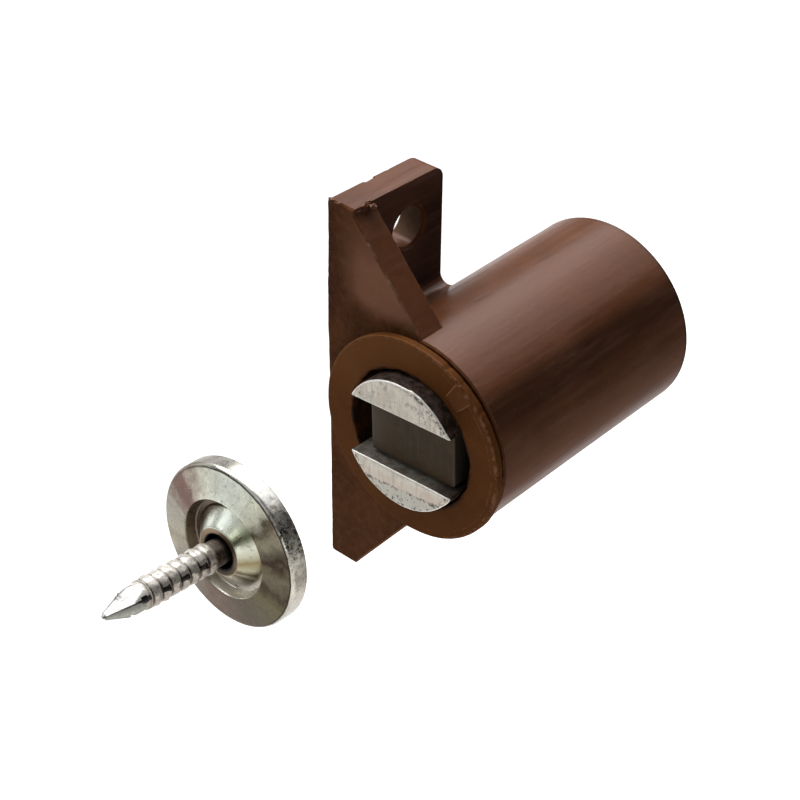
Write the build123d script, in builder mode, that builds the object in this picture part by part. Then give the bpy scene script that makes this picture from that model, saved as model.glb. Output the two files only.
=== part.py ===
from build123d import *
import math
import os

# Magnetic catch for a cabinet door: a moulded housing that screws to the
# carcass by its mounting plate, a round barrel that holds the magnet pack in a
# flanged carrier, and the steel strike that is nailed to the door.
# Millimetres. The origin is midway between the two screw holes, on the
# mounting face. -X points into the carcass, -Y out of the cabinet towards the
# strike, +Z up.

# ---- housing ---------------------------------------------------------------
plate_height = 32.3        # mounting plate, end to end
plate_depth = 9.65         # front face to rear face
plate_thickness = 2.6      # mounting face to inner face
plate_corner = 1.0         # rear corners, seen from the side
plate_edge = 0.35          # ends of the mounting face
screw_pitch = 24.2         # between the two screw holes
screw_hole_radius = 1.6
screw_setback = 5.95       # front face to the screw holes
screw_mouth = 0.25         # broken edge at the inner face
screw_relief = 0.6         # flare at the mounting face, radial
screw_relief_depth = 0.4
barrel_radius = 8.0
barrel_offset = 9.15       # mounting face to the barrel's axis
barrel_length = 22.3
barrel_floor = 1.6         # closed rear wall
barrel_rim = 0.15          # rounding at the rear wall
bore_radius = 6.6
ear_fillet = 0.8           # plate to barrel
web_thickness = 2.3        # gusset in the plane of the front face
web_step = 0.65            # upper edge leaves the plate this far below its end
web_toe = -0.05            # where the edges end, from the barrel's crown
front_edge = 0.13          # broken edge round the front face

# ---- carrier, the flanged insert in the bore ----------------------------------
flange_radius = 8.25
flange_thickness = 0.55
flange_edge = 0.1
flange_gap = 0.53          # relief between flange and housing
shoulder_radius = 7.2
opening_radius = 5.65
opening_edge = 0.1
sleeve_clearance = 0.1     # sleeve to bore, radial
sleeve_short = 0.6         # sleeve to bore floor
pad_inner = 6.25           # raised pad on the flange's face
pad_proud = 0.1
pad_angle = 52.0
pad_span = 12.0

# ---- magnet pack -------------------------------------------------------------
pole_radius = 5.36
pole_proud = 1.33          # pole faces in front of the flange's face
pole_corner = 0.4
pole_edge = 0.12
magnet_height = 5.03       # between the pole plates
magnet_width = 8.05
magnet_offset = 0.57       # pushed to one side of its slot
magnet_recess = 0.9        # behind the pole faces
magnet_play = 0.08         # to the lower pole plate
magnet_corner = 0.25
pack_roll = 2.0            # the loose pack sits turned in its sleeve
pack_lift = 0.1            # and a little above the barrel's axis

# ---- strike: pressed plate and ring-shank nail ----------------------------------
strike_radius = 6.15
strike_rim = 1.42          # thickness at the rim
strike_rise = 0.46         # rise of the conical back from the rim to the groove
strike_round = 0.3         # back edge of the rim
strike_face_edge = 0.12    # face edge of the rim
groove_radius = 3.69
groove_depth = 0.85
groove_width = 0.62
groove_draft = 0.22
boss_radius = 1.84         # crown of the conical boss
boss_rise = 0.35           # crown beyond the groove's mouth
boss_edge = 0.12
nail_hole_radius = 1.3
countersink_radius = 2.95
countersink_depth = 1.5
nail_shank_radius = 0.95
nail_crest_radius = 1.07
nail_head_radius = 2.0
nail_head_cone = 1.1
nail_head_rim = 0.1
nail_head_recess = 0.27    # head below the plate's face
nail_neck = 2.9            # under the head, without rings
nail_ring_pitch = 0.84
nail_ring_count = 7
nail_tip_land = 0.45       # plain land between the last ring and the point
nail_point = 3.2
nail_point_flat = 0.12
nail_point_turn = -14.0    # ridges of the point about the shank
nail_point_step = 0.07     # flats cut into the shank where the point starts
nail_tilt = 4.69           # the nail hangs askew in its hole, tip up
nail_drop = 0.12           # head centre below the plate's axis

# ---- where the strike stands -----------------------------------------------------
strike_reach = 17.7        # housing front to the strike's face
strike_side = -0.56        # strike's axis from the barrel's axis
strike_lift = 0.5

near = 0.01                # how closely an edge is picked by its place

# ---- reference planes --------------------------------------------------------
front_y = -screw_setback
plate_inner_x = plate_thickness
plate_top = plate_height / 2
barrel_back_y = front_y + barrel_length
bore_floor_y = barrel_back_y - barrel_floor
flange_back_y = front_y - flange_gap
flange_front_y = flange_back_y - flange_thickness
pole_front_y = flange_front_y - pole_proud
magnet_front_y = pole_front_y + magnet_recess
strike_face_y = front_y - strike_reach
strike_x = barrel_offset + strike_side

front = Plane(origin=(barrel_offset, front_y, 0), x_dir=(1, 0, 0), z_dir=(0, -1, 0))
side = Plane(origin=(plate_inner_x, 0, 0), x_dir=(0, 1, 0), z_dir=(1, 0, 0))
mounting = Plane(origin=(0, 0, 0), x_dir=(0, 1, 0), z_dir=(1, 0, 0))

# Half-section through the barrel's axis: local x is the radius, local y runs
# back from the front face.
section = Plane(origin=(barrel_offset, front_y, 0), x_dir=(1, 0, 0), z_dir=(0, 0, 1))

# ---- housing -------------------------------------------------------------------
plate_left = -barrel_offset
plate_right = plate_inner_x - barrel_offset
plate_mid = (plate_left + plate_right) / 2
web_toe_height = math.sqrt(barrel_radius**2 - web_toe**2)

with BuildPart() as housing:
    # Plate and barrel share one outline over the plate's depth, with a fillet
    # in each corner between them.
    with BuildSketch(front) as outline:
        Circle(barrel_radius)
        with Locations((plate_mid, 0)):
            Rectangle(plate_thickness, plate_height)
        corners = [
            v
            for v in outline.vertices()
            if abs(v.X - plate_right) < near and abs(v.Y) < barrel_radius
        ]
        fillet(corners, radius=ear_fillet)
    extrude(amount=-plate_depth)

    # The barrel runs on behind the plate.
    with BuildSketch(front):
        Circle(barrel_radius)
    extrude(amount=-barrel_length)

    # Web in the front plane, from the plate's ends down to the barrel's crown.
    # Its lower edge leaves the plate at the very end.
    with BuildSketch(front):
        with BuildLine():
            Polyline(
                (plate_mid, plate_top - web_step),
                (plate_right, plate_top - web_step),
                (web_toe, web_toe_height),
                (0, 0),
                (web_toe, -web_toe_height),
                (plate_right, -plate_top),
                (plate_mid, -plate_top),
                close=True,
            )
        make_face()
    extrude(amount=-web_thickness)

    # Rear corners of the two ears, then the ends of the mounting face.
    rear_corners = housing.edges().filter_by(Axis.X)
    rear_corners = rear_corners.filter_by_position(
        Axis.Y, front_y + plate_depth - near, front_y + plate_depth + near
    )
    fillet(rear_corners, radius=plate_corner)
    end_edges = housing.edges().filter_by(Axis.Y)
    end_edges = end_edges.filter_by_position(Axis.X, -near, near)
    fillet(end_edges, radius=plate_edge)

    # Closed rear wall with a small rounding.
    back_rim = housing.edges().filter_by(GeomType.CIRCLE).sort_by(Axis.Y)[-1]
    fillet(back_rim, radius=barrel_rim)

    # The edge is broken all round the front face.
    front_face = housing.faces().sort_by(Axis.Y)[0]
    chamfer(front_face.outer_wire().edges(), length=front_edge)

    # Blind bore for the carrier.
    with BuildSketch(front):
        Circle(bore_radius)
    extrude(amount=barrel_floor - barrel_length, mode=Mode.SUBTRACT)

    # Screw holes through the ears, broken at the inner face and flared at the
    # mounting face.
    with Locations(side):
        with GridLocations(0, screw_pitch, 1, 2):
            CounterSinkHole(
                radius=screw_hole_radius,
                counter_sink_radius=screw_hole_radius + screw_mouth,
                counter_sink_angle=90,
            )
    with Locations(mounting):
        with GridLocations(0, screw_pitch, 1, 2):
            Cone(
                bottom_radius=screw_hole_radius + screw_relief,
                top_radius=screw_hole_radius,
                height=screw_relief_depth,
                align=(Align.CENTER, Align.CENTER, Align.MIN),
                mode=Mode.SUBTRACT,
            )

housing.part.label = "housing"

# ---- carrier ----------------------------------------------------------------------
sleeve_radius = bore_radius - sleeve_clearance
sleeve_back = barrel_length - barrel_floor - sleeve_short
flange_back = -flange_gap
flange_front = flange_back - flange_thickness

with BuildPart() as carrier:
    with BuildSketch(section):
        with BuildLine():
            Polyline(
                (opening_radius, flange_front),
                (flange_radius, flange_front),
                (flange_radius, flange_back),
                (shoulder_radius, flange_back),
                (shoulder_radius, 0),
                (sleeve_radius, 0),
                (sleeve_radius, sleeve_back),
                (opening_radius, sleeve_back),
                close=True,
            )
        make_face()
    revolve(axis=Axis((barrel_offset, 0, 0), (0, 1, 0)))
    front_rims = carrier.edges().filter_by(GeomType.CIRCLE).group_by(Axis.Y)[0]
    chamfer(front_rims.sort_by(SortBy.RADIUS)[-1], length=flange_edge)
    front_rims = carrier.edges().filter_by(GeomType.CIRCLE).group_by(Axis.Y)[0]
    chamfer(front_rims.sort_by(SortBy.RADIUS)[0], length=opening_edge)

    # Shallow raised pad on the flange's face.
    pad_outer = flange_radius - flange_edge
    with BuildSketch(front.offset(flange_gap + flange_thickness)):
        with BuildLine():
            CenterArc((0, 0), pad_inner, pad_angle - pad_span / 2, pad_span)
            CenterArc((0, 0), pad_outer, pad_angle - pad_span / 2, pad_span)
            for turn in (-pad_span / 2, pad_span / 2):
                cosine = math.cos(math.radians(pad_angle + turn))
                sine = math.sin(math.radians(pad_angle + turn))
                Line(
                    (pad_inner * cosine, pad_inner * sine),
                    (pad_outer * cosine, pad_outer * sine),
                )
        make_face()
    extrude(amount=pad_proud)

carrier.part.label = "carrier"

# ---- magnet pack --------------------------------------------------------------------
# The pack's own plane stands on the pole faces, turned by the pack's roll.
pack = Plane(
    origin=(barrel_offset, pole_front_y, pack_lift),
    x_dir=(math.cos(math.radians(pack_roll)), 0, math.sin(math.radians(pack_roll))),
    z_dir=(0, -1, 0),
)
pack_length = bore_floor_y - pole_front_y
chord_height = magnet_height / 2

with BuildPart() as pole_upper:
    with BuildSketch(pack) as upper_face:
        Circle(pole_radius)
        with Locations((0, chord_height)):
            Rectangle(
                2 * pole_radius,
                2 * pole_radius,
                align=(Align.CENTER, Align.MAX),
                mode=Mode.SUBTRACT,
            )
        fillet(upper_face.vertices(), radius=pole_corner)
    extrude(amount=-pack_length)
    chamfer(pole_upper.faces().sort_by(Axis.Y)[0].edges(), length=pole_edge)

pole_upper.part.label = "pole_upper"

with BuildPart() as pole_lower:
    with BuildSketch(pack) as lower_face:
        Circle(pole_radius)
        with Locations((0, -chord_height)):
            Rectangle(
                2 * pole_radius,
                2 * pole_radius,
                align=(Align.CENTER, Align.MIN),
                mode=Mode.SUBTRACT,
            )
        fillet(lower_face.vertices(), radius=pole_corner)
    extrude(amount=-pack_length)
    chamfer(pole_lower.faces().sort_by(Axis.Y)[0].edges(), length=pole_edge)

pole_lower.part.label = "pole_lower"

# The magnet clings to the upper pole plate, with its play below.
with BuildPart() as magnet:
    with BuildSketch(pack.offset(-magnet_recess)):
        with Locations((magnet_offset, chord_height)):
            Rectangle(
                magnet_width,
                magnet_height - magnet_play,
                align=(Align.CENTER, Align.MAX),
            )
    extrude(amount=-(pack_length - magnet_recess))
    fillet(magnet.edges().filter_by(Axis.Y), radius=magnet_corner)

magnet.part.label = "magnet"

# ---- strike plate ---------------------------------------------------------------------
# Half-section: local x is the radius, local y runs from the plate's face
# outwards, away from the catch.
strike_section = Plane(
    origin=(strike_x, strike_face_y, strike_lift), x_dir=(1, 0, 0), z_dir=(0, 0, -1)
)
back_height = strike_rim + strike_rise
floor_height = back_height - groove_depth
boss_height = back_height + boss_rise
boss_foot = groove_radius - groove_width

with BuildPart() as strike_plate:
    with BuildSketch(strike_section) as half_plate:
        with BuildLine():
            Polyline(
                (countersink_radius, 0),
                (strike_radius, 0),
                (strike_radius, strike_rim),
                (groove_radius, back_height),
                (groove_radius - groove_draft, floor_height),
                (boss_foot, floor_height),
                (boss_radius, boss_height),
                (nail_hole_radius, boss_height),
                (nail_hole_radius, countersink_depth),
                close=True,
            )
        make_face()
        rim_ends = half_plate.vertices().group_by(Axis.X)[-1].sort_by(Axis.Y)
        chamfer(rim_ends[0], length=strike_face_edge)
        fillet(rim_ends[-1], radius=strike_round)
    revolve(axis=Axis((strike_x, 0, strike_lift), (0, 1, 0)))
    crown = strike_plate.edges().filter_by(GeomType.CIRCLE)
    crown = crown.filter_by(
        lambda e: abs(e.radius - boss_radius) < near
        or abs(e.radius - nail_hole_radius) < near
    )
    chamfer(crown.group_by(Axis.Y)[0], length=boss_edge)

strike_plate.part.label = "strike_plate"

# ---- nail --------------------------------------------------------------------------------
# The nail's own frame: origin at the centre of the head, z along the shank to
# the point.
tilt = math.radians(nail_tilt)
nail_frame = Plane(
    origin=(strike_x, strike_face_y - nail_head_recess, strike_lift - nail_drop),
    x_dir=(1, 0, 0),
    z_dir=(0, -math.cos(tilt), math.sin(tilt)),
)
nail_section = Plane(
    origin=nail_frame.origin, x_dir=nail_frame.x_dir, z_dir=-nail_frame.y_dir
)
ring_start = nail_neck
ring_end = ring_start + nail_ring_count * nail_ring_pitch
shank_end = ring_end + nail_tip_land

# Each ring is a short cone that ends in a sharp step facing the head.
nail_profile = [(0, 0), (nail_head_radius, 0), (nail_head_radius, nail_head_rim)]
nail_profile.append((nail_shank_radius, nail_head_cone))
nail_profile.append((nail_shank_radius, ring_start))
for ring in range(nail_ring_count):
    z = ring_start + ring * nail_ring_pitch
    nail_profile.append((nail_crest_radius, z + 0.1 * nail_ring_pitch))
    nail_profile.append((nail_shank_radius, z + nail_ring_pitch))
nail_profile.append((nail_crest_radius, ring_end + 0.1 * nail_ring_pitch))
nail_profile.append((nail_shank_radius, shank_end))
nail_profile.append((0, shank_end))

# Four-sided diamond point: the end of the shank trimmed to a square taper.
point_base = 2 * (nail_shank_radius - nail_point_step)
with BuildPart() as nail_tip:
    with BuildSketch(nail_frame.offset(shank_end)):
        Circle(nail_shank_radius)
    extrude(amount=nail_point)
    with BuildSketch(nail_frame.offset(shank_end)):
        Rectangle(point_base, point_base, rotation=nail_point_turn)
    with BuildSketch(nail_frame.offset(shank_end + nail_point)):
        Rectangle(nail_point_flat, nail_point_flat, rotation=nail_point_turn)
    loft(mode=Mode.INTERSECT)

with BuildPart() as strike_nail:
    with BuildSketch(nail_section):
        with BuildLine():
            Polyline(*nail_profile, close=True)
        make_face()
    revolve(axis=Axis(nail_frame.origin, nail_frame.z_dir))

    add(nail_tip.part)

strike_nail.part.label = "strike_nail"

# ---- files --------------------------------------------------------------------------
os.makedirs("parts", exist_ok=True)
export_step(housing.part, "parts/housing.step")
export_step(carrier.part, "parts/carrier.step")
export_step(pole_upper.part, "parts/pole_upper.step")
export_step(pole_lower.part, "parts/pole_lower.step")
export_step(magnet.part, "parts/magnet.step")
export_step(strike_plate.part, "parts/strike_plate.step")
export_step(strike_nail.part, "parts/strike_nail.step")
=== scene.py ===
import bpy
import bmesh
import math
from mathutils import Matrix, Vector, noise


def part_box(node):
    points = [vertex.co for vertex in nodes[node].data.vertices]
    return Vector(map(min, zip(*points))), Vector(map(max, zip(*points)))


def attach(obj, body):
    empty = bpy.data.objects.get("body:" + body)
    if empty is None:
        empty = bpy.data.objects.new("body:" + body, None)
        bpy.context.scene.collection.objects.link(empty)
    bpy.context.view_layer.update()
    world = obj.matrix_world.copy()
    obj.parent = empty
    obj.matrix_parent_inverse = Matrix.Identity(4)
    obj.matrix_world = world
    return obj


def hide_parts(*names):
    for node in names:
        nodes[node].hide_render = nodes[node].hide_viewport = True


# Magnetic catch: its moulded housing, flanged carrier, pole plates and magnet,
# and the strike with its ring-shank nail. Lengths are in millimetres and are
# scaled as each mesh is made. Local z runs along a part's own axis, out of the
# cabinet.

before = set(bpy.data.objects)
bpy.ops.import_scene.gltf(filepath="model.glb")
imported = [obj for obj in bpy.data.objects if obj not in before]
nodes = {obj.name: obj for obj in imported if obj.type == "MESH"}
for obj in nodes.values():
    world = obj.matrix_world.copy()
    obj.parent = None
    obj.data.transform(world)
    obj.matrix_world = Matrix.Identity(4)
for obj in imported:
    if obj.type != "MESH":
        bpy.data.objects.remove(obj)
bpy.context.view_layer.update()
MM = 0.001


def node_box(name):
    low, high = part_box(name)
    return Vector(low) / MM, Vector(high) / MM


def turned(centre, direction):
    """Frame at centre with z along direction and x across the row."""
    z = Vector(direction).normalized()
    y = z.cross(Vector((1, 0, 0))).normalized()
    x = y.cross(z)
    turn = Matrix((x, y, z)).transposed().to_4x4()
    return Matrix.Translation(Vector(centre)) @ turn


# ---- places from the frame
housing_low, housing_high = node_box("housing")
carrier_low, carrier_high = node_box("carrier")
pole_low, pole_high = node_box("pole_upper")
magnet_low, magnet_high = node_box("magnet")
strike_low, strike_high = node_box("strike_plate")
nail_low, nail_high = node_box("strike_nail")

FRONT = housing_low.y
PLATE_TOP = housing_high.z
SCREW_Z = 12.1             # of the upper screw hole
SCREW_R = 1.65
PACK_LIFT = 0.1            # of the poles and magnet above the barrel axis
BARREL_X = (carrier_low.x + carrier_high.x) / 2
BARREL_R = housing_high.x - BARREL_X
FLANGE_R = (carrier_high.x - carrier_low.x) / 2
FLANGE_FRONT = FRONT - carrier_low.y
FLANGE_FACE = carrier_low.y
POLE_FRONT = FRONT - pole_low.y
MAGNET_FRONT = FRONT - magnet_low.y
CARRIER_BACK = FRONT - carrier_high.y
PACK_BACK = FRONT - pole_high.y

catch_frame = turned((BARREL_X, FRONT, 0), (0, -1, 0))
STRIKE_LEAN = math.radians(2.99)
NAIL_LEAN = math.radians(4.69)
strike_centre = ((strike_low.x + strike_high.x) / 2 + 0.05, strike_high.y - 0.05, 0.467)
POINT_Y = -33.2            # where the nail's point begins
NECK_Y = -26.0             # where its shank comes out of the plate's hole
RING_Y = -31.45            # middle of one of its rings
nail_centre = ((nail_low.x + nail_high.x) / 2, strike_high.y - 0.27, 0.38)

# ---- meshes


def join_verts(mesh):
    work = bmesh.new()
    work.from_mesh(mesh)
    bmesh.ops.remove_doubles(work, verts=work.verts, dist=1e-4 * MM)
    bmesh.ops.recalc_face_normals(work, faces=work.faces)
    work.to_mesh(mesh)
    work.free()


def add_piece(name, verts, faces, material, body, replaced=(), sharp=35, place=Matrix()):
    mesh = bpy.data.meshes.new(name)
    mesh.from_pydata([(place @ Vector(v)) * MM for v in verts], [], faces)
    join_verts(mesh)
    piece = bpy.data.objects.new(name, mesh)
    finish_piece(piece, material, body, replaced, sharp)
    return piece


def finish_piece(piece, material, body, replaced, sharp):
    bpy.context.scene.collection.objects.link(piece)
    smooth_by_angle(piece, sharp)
    piece.data.materials.clear()
    piece.data.materials.append(material)
    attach(piece, body)
    if replaced:
        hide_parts(*replaced)


def smooth_by_angle(piece, degrees):
    work = bmesh.new()
    work.from_mesh(piece.data)
    limit = math.radians(degrees)
    for face in work.faces:
        face.smooth = True
    for edge in work.edges:
        edge.smooth = len(edge.link_faces) == 2 and edge.calc_face_angle(0) < limit
    work.to_mesh(piece.data)
    work.free()


def rounded(corners, steps=4):
    """Closed outline through (x, y, radius) corners, with each corner turned into a curve."""
    outline = []
    for index, (x, y, radius) in enumerate(corners):
        corner = Vector((x, y))
        if radius == 0:
            outline.append(corner)
            continue
        before = Vector(corners[index - 1][:2]) - corner
        after = Vector(corners[(index + 1) % len(corners)][:2]) - corner
        reach = radius / math.tan(before.angle(after) / 2)
        start = corner + before.normalized() * reach
        end = corner + after.normalized() * reach
        for step in range(steps + 1):
            t = step / steps
            outline.append(start * (1 - t) ** 2 + corner * 2 * t * (1 - t) + end * t * t)
    return outline


def divided(outline, longest):
    """The same closed outline with no run longer than longest."""
    points = []
    for index, point in enumerate(outline):
        follow = outline[(index + 1) % len(outline)]
        parts = max(1, math.ceil((follow - point).length / longest))
        points.extend(point.lerp(follow, part / parts) for part in range(parts))
    return points


def lathe(outline, segments, shape=None):
    """Turns a closed outline of (radius, height) about z; shape moves single points."""
    verts = []
    faces = []
    rows = len(outline)
    for step in range(segments):
        angle = 2 * math.pi * step / segments
        for radius, height in outline:
            if shape:
                radius, height = shape(radius, height, angle)
            verts.append((radius * math.cos(angle), radius * math.sin(angle), height))
    for step in range(segments):
        here = step * rows
        there = (step + 1) % segments * rows
        for row in range(rows):
            follow = (row + 1) % rows
            faces.append((here + row, there + row, there + follow, here + follow))
    return verts, faces


def prism(outline, layers, spine, front_rings=6):
    """Walls through (inset, height) layers of an outline, closed at the front over a spine
    and at the back by one face. Layers run from the front to the back."""
    verts = []
    faces = []
    count = len(outline)
    left, right = spine

    def towards(point, amount):
        base = Vector((min(max(point.x, left.x), right.x), left.y))
        run = base - point
        return point + run.normalized() * min(amount, run.length)

    front_inset, front_height = layers[0]
    rim = [towards(point, front_inset) for point in outline]
    for ring in range(front_rings, 0, -1):
        t = ring / (front_rings + 1)
        for point in rim:
            base = Vector((min(max(point.x, left.x), right.x), left.y))
            verts.append((*point.lerp(base, t), front_height))
    for inset, height in layers:
        verts.extend((*towards(point, inset), height) for point in outline)
    rows = front_rings + len(layers)
    for row in range(rows - 1):
        for index in range(count):
            follow = (index + 1) % count
            a, b = row * count, (row + 1) * count
            faces.append((a + index, a + follow, b + follow, b + index))
    faces.append(tuple(range(count)))
    faces.append(tuple((rows - 1) * count + index for index in range(count))[::-1])
    return verts, faces


def wobble(point, scale, seed=0.0):
    """Smooth noise between -1 and 1 at a point in millimetres."""
    return noise.noise(Vector(point) * scale + Vector((seed, seed * 1.7, seed * 0.3)))


def bell(value, centre, width):
    return math.exp(-(((value - centre) / width) ** 2))


def turn_gap(angle, degrees):
    """Degrees from an angle in radians to a place on the turn, between -180 and 180."""
    return (math.degrees(angle) - degrees + 180) % 360 - 180

# ---- node helpers
trees = []                 # the helpers add their nodes to the last one


class Signal:
    """The output of a shader node. Arithmetic on it adds math nodes."""

    def __init__(self, socket):
        self.socket = socket

    def __add__(self, other):
        return calc("ADD", self, other)

    def __sub__(self, other):
        return calc("SUBTRACT", self, other)

    def __rsub__(self, other):
        return calc("SUBTRACT", other, self)

    def __mul__(self, other):
        return calc("MULTIPLY", self, other)

    def __truediv__(self, other):
        return calc("DIVIDE", self, other)


def feed(socket, value):
    """Links a signal to a socket, or sets a number or a colour there."""
    if isinstance(value, Signal):
        trees[-1].links.new(value.socket, socket)
    elif isinstance(value, (int, float)):
        socket.default_value = value
    else:
        socket.default_value = (*value, 1)


def add_node(kind, output, inputs=None, **settings):
    """Adds a node with these settings and inputs, and gives back one of its outputs."""
    node = trees[-1].nodes.new("ShaderNode" + kind)
    for name, value in settings.items():
        setattr(node, name, value)
    for key, value in (inputs or {}).items():
        feed(node.inputs[key], value)
    return Signal(node.outputs[output])


def new_material(name):
    material = bpy.data.materials.new(name)
    material.use_nodes = True
    tree = material.node_tree
    tree.nodes.clear()
    output = tree.nodes.new("ShaderNodeOutputMaterial")
    shader = tree.nodes.new("ShaderNodeBsdfPrincipled")
    tree.links.new(shader.outputs["BSDF"], output.inputs["Surface"])
    trees.append(tree)
    return material, shader


def coords(scale=(1, 1, 1), rotation=(0, 0, 0)):
    """Object coordinates in millimetres, so noise scales read as marks per millimetre."""
    mapping = trees[-1].nodes.new("ShaderNodeMapping")
    mapping.inputs["Scale"].default_value = [s / MM for s in scale]
    mapping.inputs["Rotation"].default_value = rotation
    feed(mapping.inputs["Vector"], add_node("TexCoord", "Object"))
    return Signal(mapping.outputs["Vector"])


def noise_node(vector, scale, detail=3.0, roughness=0.5):
    inputs = {"Vector": vector, "Scale": scale, "Detail": detail, "Roughness": roughness}
    return add_node("TexNoise", "Fac", inputs)


def ramp(value, stops):
    """stops: (position, colour or grey level)"""
    node = trees[-1].nodes.new("ShaderNodeValToRGB")
    elements = node.color_ramp.elements
    while len(elements) > 1:
        elements.remove(elements[-1])
    for index, (position, colour) in enumerate(stops):
        element = elements[0] if index == 0 else elements.new(position)
        element.position = position
        if isinstance(colour, (int, float)):
            colour = (colour, colour, colour)
        element.color = (*colour, 1)
    feed(node.inputs["Fac"], value)
    return Signal(node.outputs["Color"])


def mix(factor, a, b, blend="MIX"):
    return add_node("Mix", 2, {0: factor, 6: a, 7: b}, data_type="RGBA", blend_type=blend)


def bump(height, strength, distance, normal=None):
    inputs = {"Height": height, "Strength": strength, "Distance": distance * MM}
    if normal is not None:
        inputs["Normal"] = normal
    return add_node("Bump", "Normal", inputs)


def calc(operation, a, b=0.0):
    return add_node("Math", "Value", {0: a, 1: b}, operation=operation)


def most(first, *others):
    """The largest of several values at each point."""
    for other in others:
        first = calc("MAXIMUM", first, other)
    return first


def rise(value, start, end):
    """0 at start, 1 at end, smooth between; start may lie above end."""
    upward = start < end
    inputs = {
        "Value": value,
        "From Min": min(start, end),
        "From Max": max(start, end),
        "To Min": 0.0 if upward else 1.0,
        "To Max": 1.0 if upward else 0.0,
    }
    return add_node("MapRange", "Result", inputs, interpolation_type="SMOOTHSTEP")


def band(value, low, high, soft):
    """1 between low and high, gone soft beyond them."""
    return rise(value, low - soft, low) * rise(value, high + soft, high)


def span(factor, low, high):
    """A value between low and high by factor."""
    return factor * (high - low) + low


def split(vector):
    node = trees[-1].nodes.new("ShaderNodeSeparateXYZ")
    feed(node.inputs["Vector"], vector)
    return [Signal(node.outputs[axis]) for axis in "XYZ"]


def facing():
    """Parts of the object-space normal."""
    return split(add_node("TexCoord", "Normal"))


def edge_mask(radius):
    """1 along outer edges, found where a rounded normal parts from the true one."""
    soft = add_node("Bevel", "Normal", {"Radius": radius * MM}, samples=6)
    true = add_node("NewGeometry", "Normal")
    agreement = add_node("VectorMath", "Value", {0: soft, 1: true}, operation="DOT_PRODUCT")
    reach = {"Distance": 3 * radius * MM}
    open_air = add_node("AmbientOcclusion", "AO", reach, samples=4, only_local=True)
    return rise(agreement, 0.99, 0.9) * rise(open_air, 0.75, 0.95)


def polar(x, z, centre):
    """Radius, angle as a share of a turn (0.5 at +x, 0.75 at +z) and unit direction about y."""
    across = x - centre[0]
    upward = z - centre[1]
    radius = calc("SQRT", across * across + upward * upward)
    share = calc("ARCTAN2", upward, across) / (2 * math.pi) + 0.5
    direction = add_node("CombineXYZ", "Vector", {"X": across / radius, "Y": upward / radius})
    return radius, share, direction


def round_ramp(share, stops):
    """stops: (degrees from +x, colour), between -180 and 180."""
    return ramp(share, [(degrees / 360 + 0.5, colour) for degrees, colour in stops])


def link_surface(shader, colour, roughness, metallic, normal):
    feed(shader.inputs["Base Color"], colour)
    feed(shader.inputs["Roughness"], roughness)
    feed(shader.inputs["Metallic"], metallic)
    feed(shader.inputs["Normal"], normal)


# ---- materials
BROWN = (0.128, 0.0445, 0.0165)
TAN = (0.36, 0.21, 0.13)

# painted light and shade round the barrel: painted shade darkest along its right side, painted light on
# its lower right
BARREL_LIGHT_AND_SHADE = (
    (-180, 1.0), (-60, 1.0), (-25, 1.3), (0, 1.15), (12, 1.0), (21, 0.8), (29, 0.38), (39, 0.38),
    (48, 0.95), (56, 1.03), (70, 1.0),
)


def brown_base(light, dark):
    vector = coords()
    cloud = rise(noise_node(vector, 0.3, 4, 0.55), 0.15, 0.85)
    grain = rise(noise_node(vector, 4.0, 4, 0.65), 0.2, 0.85)
    colour = mix(cloud, dark, light)
    return mix(grain * 0.35, colour, [c * 1.35 for c in light]), cloud, grain


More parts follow.
